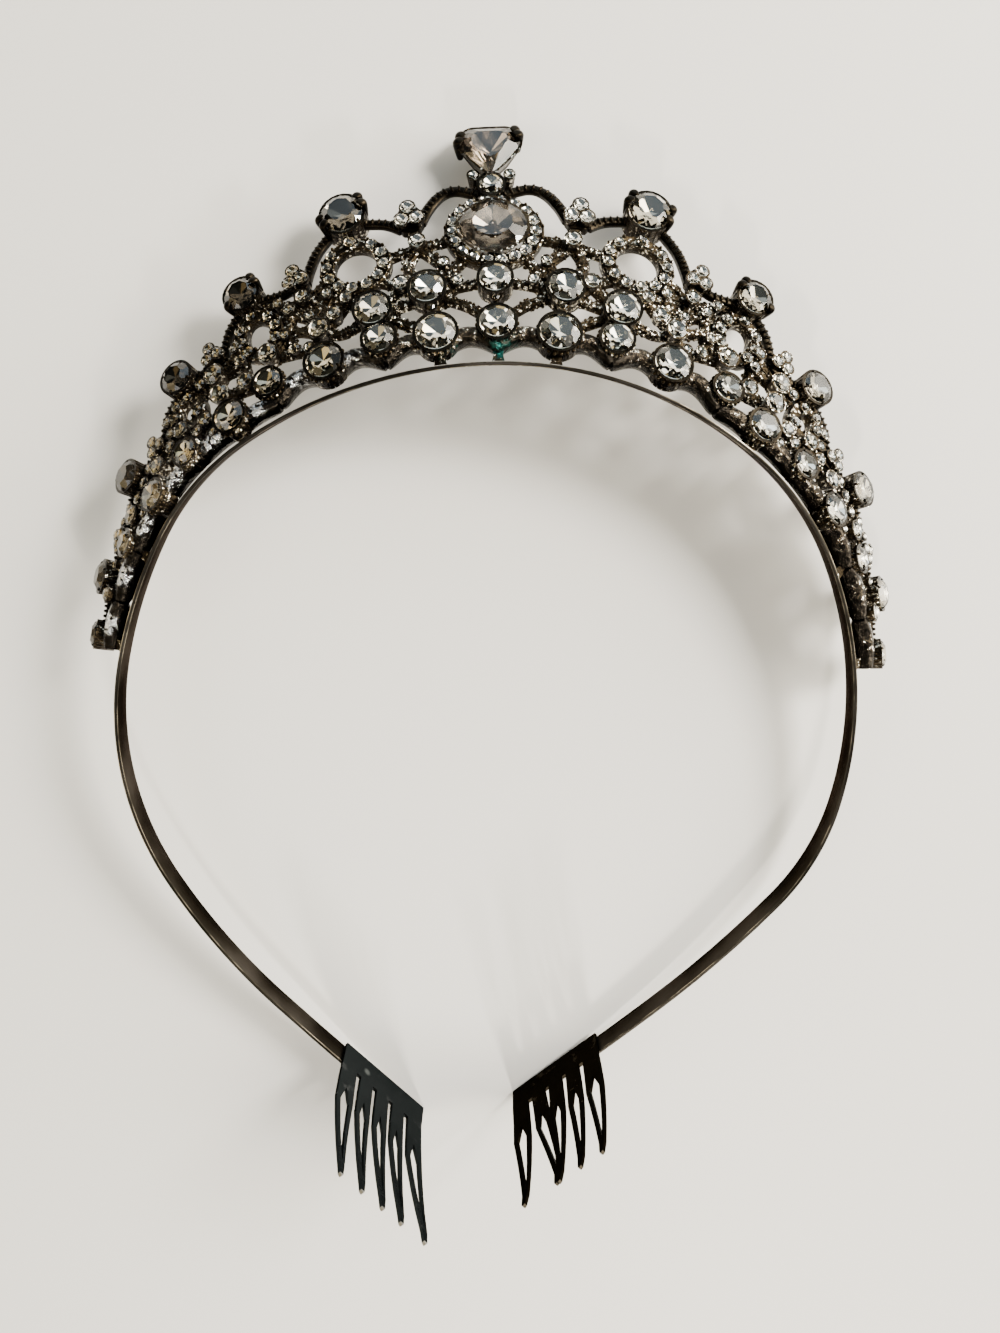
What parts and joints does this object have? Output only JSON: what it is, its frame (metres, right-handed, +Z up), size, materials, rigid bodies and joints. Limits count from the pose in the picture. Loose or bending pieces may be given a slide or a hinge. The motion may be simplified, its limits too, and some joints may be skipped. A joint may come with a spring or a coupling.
{
  "type": "rhinestone tiara",
  "caption": "Headband tiara lying face up: flat steel hoop, two side combs, openwork pewter casting of arches, loops and cups set with clear faceted stones.",
  "frame": {"origin": "on the surface that the tiara lies on, under the middle of its bounding box", "axes": "+Z up off the surface, +Y from the combs towards the finial (longest extent), +X to the right as seen from above"},
  "size_m": [0.1506, 0.201, 0.0381],
  "materials": {
    "headband": "darkened, worn bright at the edges",
    "combs": "matte black lacquer over steel, bare at the tips",
    "casting": "tarnished grey-brown cast alloy with polished high points and some verdigris",
    "stones": "clear cut glass, foil-backed"
  },
  "bodies": {
    "root": {"headband": "headband", "comb_left": "combs", "comb_right": "combs", "tiara_frame": "casting", "finial_stone": "stones", "finial_drop": "stones", "centre_stone": "stones", "centre_drop": "stones", "base_centre_stone": "stones", "peak_right_1": "stones", "peak_right_2": "stones", "peak_right_3": "stones", "peak_right_4": "stones", "peak_right_5": "stones", "peak_right_6": "stones", "peak_left_1": "stones", "peak_left_2": "stones", "peak_left_3": "stones", "peak_left_4": "stones", "peak_left_5": "stones", "peak_left_6": "stones", "base_right_1": "stones", "base_right_2": "stones", "base_right_3": "stones", "base_right_4": "stones", "base_right_5": "stones", "base_right_6": "stones", "base_right_7": "stones", "base_right_8": "stones", "base_left_1": "stones", "base_left_2": "stones", "base_left_3": "stones", "base_left_4": "stones", "base_left_5": "stones", "base_left_6": "stones", "base_left_7": "stones", "base_left_8": "stones", "mid_right_1": "stones", "mid_right_2": "stones", "mid_left_1": "stones", "mid_left_2": "stones", "halo_stones": "stones", "pave_right": "stones", "pave_left": "stones", "trefoils_right": "stones", "trefoils_left": "stones"}
  },
  "joints": []
}
